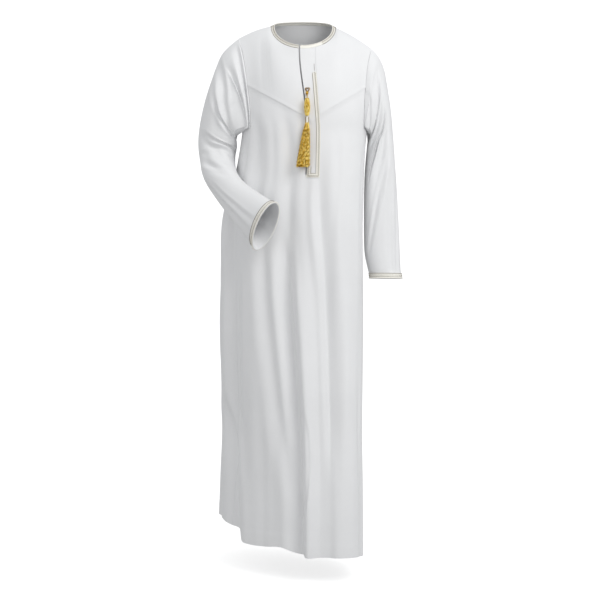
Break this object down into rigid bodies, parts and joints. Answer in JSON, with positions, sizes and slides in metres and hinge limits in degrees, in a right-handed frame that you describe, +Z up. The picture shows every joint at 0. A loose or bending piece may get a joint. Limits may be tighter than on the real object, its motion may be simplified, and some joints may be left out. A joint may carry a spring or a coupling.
{
  "type": "worn thobe with neck tassel",
  "caption": "Long white collarless thobe in its worn, hollow shape, with set-in sleeves, pointed front yoke, trimmed slit placket, trimmed neck and cuffs, and a gold neck tassel.",
  "frame": {"origin": "middle of the neck, level with the highest point of the shoulders, where the wearer holds the garment up", "axes": "+Z up, the front faces -Y, the wearer's left is +X"},
  "size_m": [0.5786, 0.497, 1.4949],
  "materials": {
    "white_cloth": "smooth fine twill with a soft sheen",
    "gold_trim": "cream braid with gold zigzag stitching",
    "tassel_thread": "twisted glossy gold thread"
  },
  "bodies": {
    "root": {"front_panel": "white_cloth", "back_panel": "white_cloth", "front_yoke_right": "white_cloth", "front_yoke_left": "white_cloth", "back_yoke": "white_cloth", "side_gore_right": "white_cloth", "side_gore_left": "white_cloth", "sleeve_right_upper": "white_cloth", "sleeve_right_lower": "white_cloth", "sleeve_left": "white_cloth", "placket": "white_cloth", "neck_band": "gold_trim", "placket_braid": "gold_trim", "cuff_trim_right": "gold_trim", "cuff_trim_left": "gold_trim", "tassel_cord": "tassel_thread", "tassel_knob": "tassel_thread", "tassel_skirt": "tassel_thread"}
  },
  "joints": []
}
